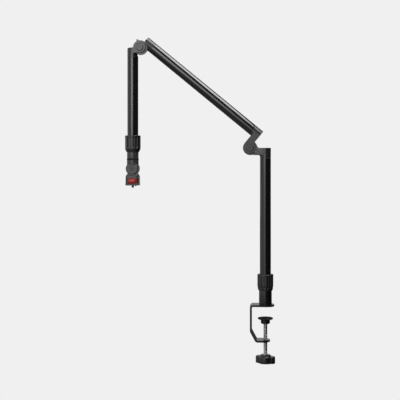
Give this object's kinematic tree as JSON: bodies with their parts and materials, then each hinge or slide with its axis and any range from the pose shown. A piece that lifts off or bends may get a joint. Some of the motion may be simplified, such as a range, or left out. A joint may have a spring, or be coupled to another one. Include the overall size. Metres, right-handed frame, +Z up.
{
  "type": "microphone boom arm",
  "caption": "Black desk-clamp boom arm for a microphone, with a tube post, two knuckle elbows, ribbed twist collars and a small tilting quick-release head.",
  "frame": {"origin": "on the post's axis, at the underside of the clamp's top plate, which rests on the desk", "axes": "+Z up along the post; the arm reaches towards -X; the elbows turn about axes along Y"},
  "size_m": [0.392, 0.0414, 0.8462],
  "materials": {
    "tube": "black anodised, satin",
    "casting": "die-cast, black powder coat",
    "strip": "black powder coat on steel",
    "collar": "moulded black nylon",
    "rubber": "black rubber",
    "plastic": "black plastic",
    "steel": "zinc plated",
    "dark_steel": "black oxide",
    "liner": "natural nylon",
    "red": "red plastic"
  },
  "bodies": {
    "clamp": {"clamp_frame": "strip", "base_socket": "casting", "base_screw_1": "dark_steel", "base_screw_2": "dark_steel", "base_screw_3": "dark_steel", "thrust_washer": "liner", "lower_collet": "liner"},
    "lower_collar": {"lower_collar": "collar"},
    "post": {"post_foot": "plastic", "post_tube": "tube", "post_cap": "casting", "post_cap_grub": "dark_steel"},
    "arm": {"arm_tube": "tube", "arm_lower_cap": "casting", "arm_upper_cap": "casting", "arm_lower_grub": "dark_steel", "arm_upper_grub": "dark_steel", "lower_pivot_bolt": "dark_steel", "lower_pivot_nut": "steel", "lower_pivot_cover": "plastic", "lower_washer_front": "liner", "lower_washer_rear": "liner"},
    "drop": {"drop_tube": "tube", "drop_cap": "casting", "drop_cap_grub": "dark_steel", "drop_ferrule": "casting", "upper_collet": "liner", "upper_pivot_bolt": "dark_steel", "upper_pivot_nut": "steel", "upper_pivot_cover": "plastic", "upper_washer_front": "liner", "upper_washer_rear": "liner"},
    "upper_collar": {"upper_collar": "collar"},
    "head": {"head_stem": "casting", "stem_clip": "steel", "trim_ring": "plastic", "head_fork": "casting", "tilt_bolt": "dark_steel", "tilt_nut": "steel", "tilt_washer_front": "liner", "tilt_washer_rear": "liner"},
    "tilt_head": {"head_housing": "casting", "adapter_plug": "steel", "mount_stud": "dark_steel", "index_pin": "dark_steel", "latch_spring": "steel"},
    "button": {"release_button": "red", "latch_plate": "steel"},
    "pad": {"pressure_pad": "strip", "pad_liner": "rubber"},
    "screw": {"clamp_screw": "steel", "clamp_knob": "plastic", "knob_cap": "plastic"}
  },
  "joints": [
    {"name": "post_swivel", "type": "hinge", "parent": "clamp", "child": "post", "pos_m": [0, 0, 0.012], "axis": [0, 0, 1], "continuous": true},
    {"name": "lower_collar_twist", "type": "hinge", "parent": "clamp", "child": "lower_collar", "pos_m": [0, 0, 0.0413], "axis": [0, 0, 1], "range_deg": [0, 120]},
    {"name": "elbow", "type": "hinge", "parent": "post", "child": "arm", "pos_m": [-0.0394, 0, 0.41], "axis": [0, -1, 0], "range_deg": [-50.5, 72]},
    {"name": "upper_elbow", "type": "hinge", "parent": "arm", "child": "drop", "pos_m": [-0.32645, 0, 0.67255], "axis": [0, -1, 0], "range_deg": [-129.5, 45]},
    {"name": "upper_collar_twist", "type": "hinge", "parent": "drop", "child": "upper_collar", "pos_m": [-0.34646, 0, 0.3994], "axis": [0, 0, 1], "range_deg": [0, 120]},
    {"name": "head_swivel", "type": "hinge", "parent": "drop", "child": "head", "pos_m": [-0.34646, 0, 0.3825], "axis": [0, 0, 1], "continuous": true},
    {"name": "head_tilt", "type": "hinge", "parent": "head", "child": "tilt_head", "pos_m": [-0.34646, 0, 0.3559], "axis": [0, 1, 0], "range_deg": [-75, 75]},
    {"name": "release_button", "type": "slide", "parent": "tilt_head", "child": "button", "axis": [0, 1, 0], "range_m": [0, 0.0025], "stiffness_N_per_m": 800, "springref_m": -0.002, "deforming": ["latch_spring"]},
    {"name": "pad_travel", "type": "slide", "parent": "clamp", "child": "pad", "axis": [0, 0, 1], "range_m": [-0.039, 0.0295]},
    {"name": "clamp_screw_turn", "type": "hinge", "parent": "pad", "child": "screw", "pos_m": [0, 0, -0.0463], "axis": [0, 0, 1], "range_deg": [-9361, 7081]}
  ],
  "couplings": [
    {"joint": "clamp_screw_turn", "follows": "pad_travel", "rad_per_m": 4188.8}
  ]
}
